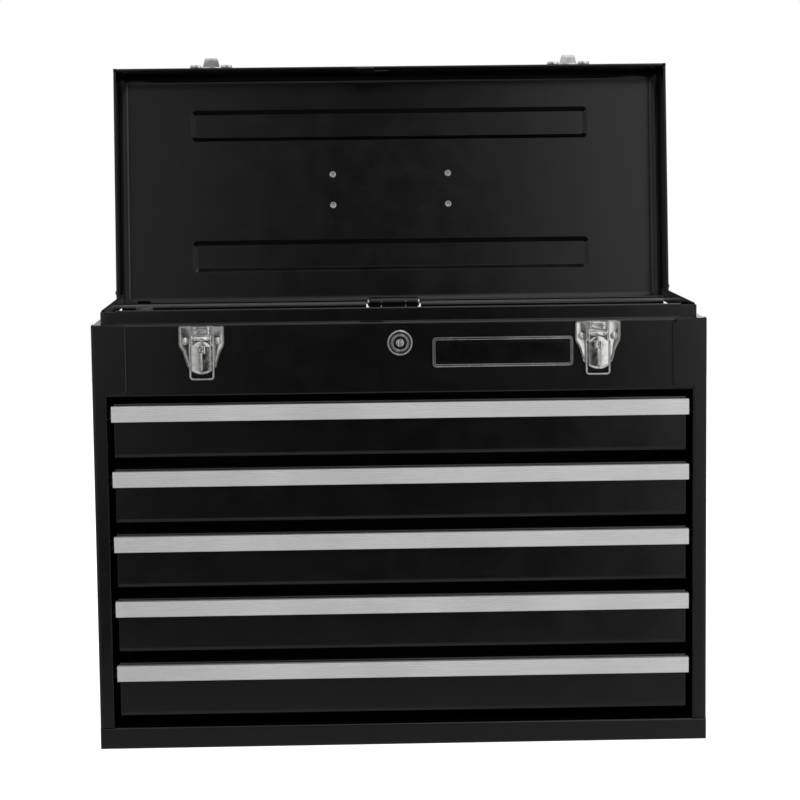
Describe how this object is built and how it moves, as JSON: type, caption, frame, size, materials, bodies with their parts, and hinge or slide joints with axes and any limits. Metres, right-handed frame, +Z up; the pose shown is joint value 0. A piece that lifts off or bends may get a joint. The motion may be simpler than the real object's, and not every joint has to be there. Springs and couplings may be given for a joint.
{
  "type": "machinist tool chest",
  "caption": "Black folded-steel machinist tool chest with shallow sliding drawers, a till under a hinged lid, draw latches, a cylinder lock and a carry handle",
  "frame": {"origin": "centre of the flat bottom pan, where the chest stands", "axes": "Z up, X across the chest, the front with the drawers faces -Y"},
  "size_m": [0.5226, 0.3177, 0.5937],
  "materials": {
    "black_enamel": "smooth black enamel, satin sheen, light speckle of dust",
    "inner_enamel": "same enamel, duller inside the cabinet and trays",
    "pull_aluminium": "drawn aluminium strip with fine lengthwise grooves",
    "latch_nickel": "bright nickel-plated pressed steel",
    "lock_chrome": "polished plating with turned rings",
    "zinc_steel": "zinc-plated hardware, slightly dull",
    "pin_steel": "bright turned pin ends",
    "nameplate_frame": "stamped frame, bright raised rims",
    "nameplate_field": "bare dark field",
    "grip_plastic": "moulded black grip, fine grain"
  },
  "bodies": {
    "cabinet": {"side_panel_left": "black_enamel", "side_panel_right": "black_enamel", "header_panel": "black_enamel", "bottom_panel": "black_enamel", "back_panel": "black_enamel", "till_floor": "inner_enamel", "drawer_runners_left": "inner_enamel", "drawer_runners_right": "inner_enamel", "side_rivets": "black_enamel", "nameplate": "nameplate_frame", "nameplate_field": "nameplate_field", "latch_base_left": "latch_nickel", "latch_base_right": "latch_nickel", "latch_rivets": "latch_nickel", "latch_lever_pins": "latch_nickel", "lock_housing": "lock_chrome", "lock_nut": "zinc_steel", "hinge_body_leaf": "black_enamel", "hinge_body_rivets": "black_enamel", "hinge_pin": "pin_steel", "lock_bar_guides": "zinc_steel", "lock_bar_spring": "zinc_steel"},
    "lid": {"lid_shell": "black_enamel", "lid_catch_left": "latch_nickel", "lid_catch_right": "latch_nickel", "catch_rivets": "latch_nickel", "lid_lock_hook": "black_enamel", "lid_rivets": "black_enamel", "handle_bracket_left": "zinc_steel", "handle_bracket_right": "zinc_steel", "handle_rivets": "zinc_steel", "lock_bar_pusher": "black_enamel", "hinge_lid_leaf": "black_enamel", "hinge_lid_rivets": "black_enamel"},
    "carry_handle": {"handle_bail": "zinc_steel", "handle_grip": "grip_plastic"},
    "lever_left": {"latch_lever_left": "latch_nickel"},
    "lever_right": {"latch_lever_right": "latch_nickel"},
    "loop_left": {"latch_loop_left": "latch_nickel"},
    "loop_right": {"latch_loop_right": "latch_nickel"},
    "lock_core": {"lock_plug": "lock_chrome", "lock_cam": "zinc_steel", "lock_cam_nut": "zinc_steel"},
    "lock_bar": {"drawer_lock_bar": "zinc_steel"},
    "drawer_1": {"drawer_1_tray": "inner_enamel", "drawer_1_front": "black_enamel", "drawer_1_pull": "pull_aluminium"},
    "drawer_2": {"drawer_2_tray": "inner_enamel", "drawer_2_front": "black_enamel", "drawer_2_pull": "pull_aluminium"},
    "drawer_3": {"drawer_3_tray": "inner_enamel", "drawer_3_front": "black_enamel", "drawer_3_pull": "pull_aluminium"},
    "drawer_4": {"drawer_4_tray": "inner_enamel", "drawer_4_front": "black_enamel", "drawer_4_pull": "pull_aluminium"},
    "drawer_5": {"drawer_5_tray": "inner_enamel", "drawer_5_front": "black_enamel", "drawer_5_pull": "pull_aluminium"}
  },
  "joints": [
    {"name": "lid_hinge", "type": "hinge", "parent": "cabinet", "child": "lid", "pos_m": [0, 0.11075, 0.365], "axis": [1, 0, 0], "range_deg": [0, 96.5]},
    {"name": "handle_swing", "type": "hinge", "parent": "lid", "child": "carry_handle", "pos_m": [0, 0.18876, 0.46758], "axis": [1, 0, 0], "range_deg": [-6, 173]},
    {"name": "lever_turn_left", "type": "hinge", "parent": "cabinet", "child": "lever_left", "pos_m": [-0.167, -0.116, 0.352], "axis": [-1, 0, 0], "range_deg": [0, 135]},
    {"name": "loop_swing_left", "type": "hinge", "parent": "lever_left", "child": "loop_left", "pos_m": [-0.167, -0.1148, 0.3465], "axis": [1, 0, 0], "range_deg": [-180, 0]},
    {"name": "lever_turn_right", "type": "hinge", "parent": "cabinet", "child": "lever_right", "pos_m": [0.167, -0.116, 0.352], "axis": [-1, 0, 0], "range_deg": [0, 135]},
    {"name": "loop_swing_right", "type": "hinge", "parent": "lever_right", "child": "loop_right", "pos_m": [0.167, -0.1148, 0.3465], "axis": [1, 0, 0], "range_deg": [-180, 0]},
    {"name": "lock_turn", "type": "hinge", "parent": "cabinet", "child": "lock_core", "pos_m": [0, -0.11, 0.3462], "axis": [0, -1, 0], "range_deg": [0, 90]},
    {"name": "lock_bar_slide", "type": "slide", "parent": "cabinet", "child": "lock_bar", "axis": [0, 0, -1], "range_m": [0, 0.0061], "deforming": ["lock_bar_spring"]},
    {"name": "drawer_1_slide", "type": "slide", "parent": "cabinet", "child": "drawer_1", "axis": [0, -1, 0], "range_m": [0, 0.165]},
    {"name": "drawer_2_slide", "type": "slide", "parent": "cabinet", "child": "drawer_2", "axis": [0, -1, 0], "range_m": [0, 0.165]},
    {"name": "drawer_3_slide", "type": "slide", "parent": "cabinet", "child": "drawer_3", "axis": [0, -1, 0], "range_m": [0, 0.165]},
    {"name": "drawer_4_slide", "type": "slide", "parent": "cabinet", "child": "drawer_4", "axis": [0, -1, 0], "range_m": [0, 0.165]},
    {"name": "drawer_5_slide", "type": "slide", "parent": "cabinet", "child": "drawer_5", "axis": [0, -1, 0], "range_m": [0, 0.165]}
  ],
  "couplings": [
    {"joint": "lock_bar_slide", "follows": "lid_hinge", "m_per_rad": 0.0035624}
  ]
}
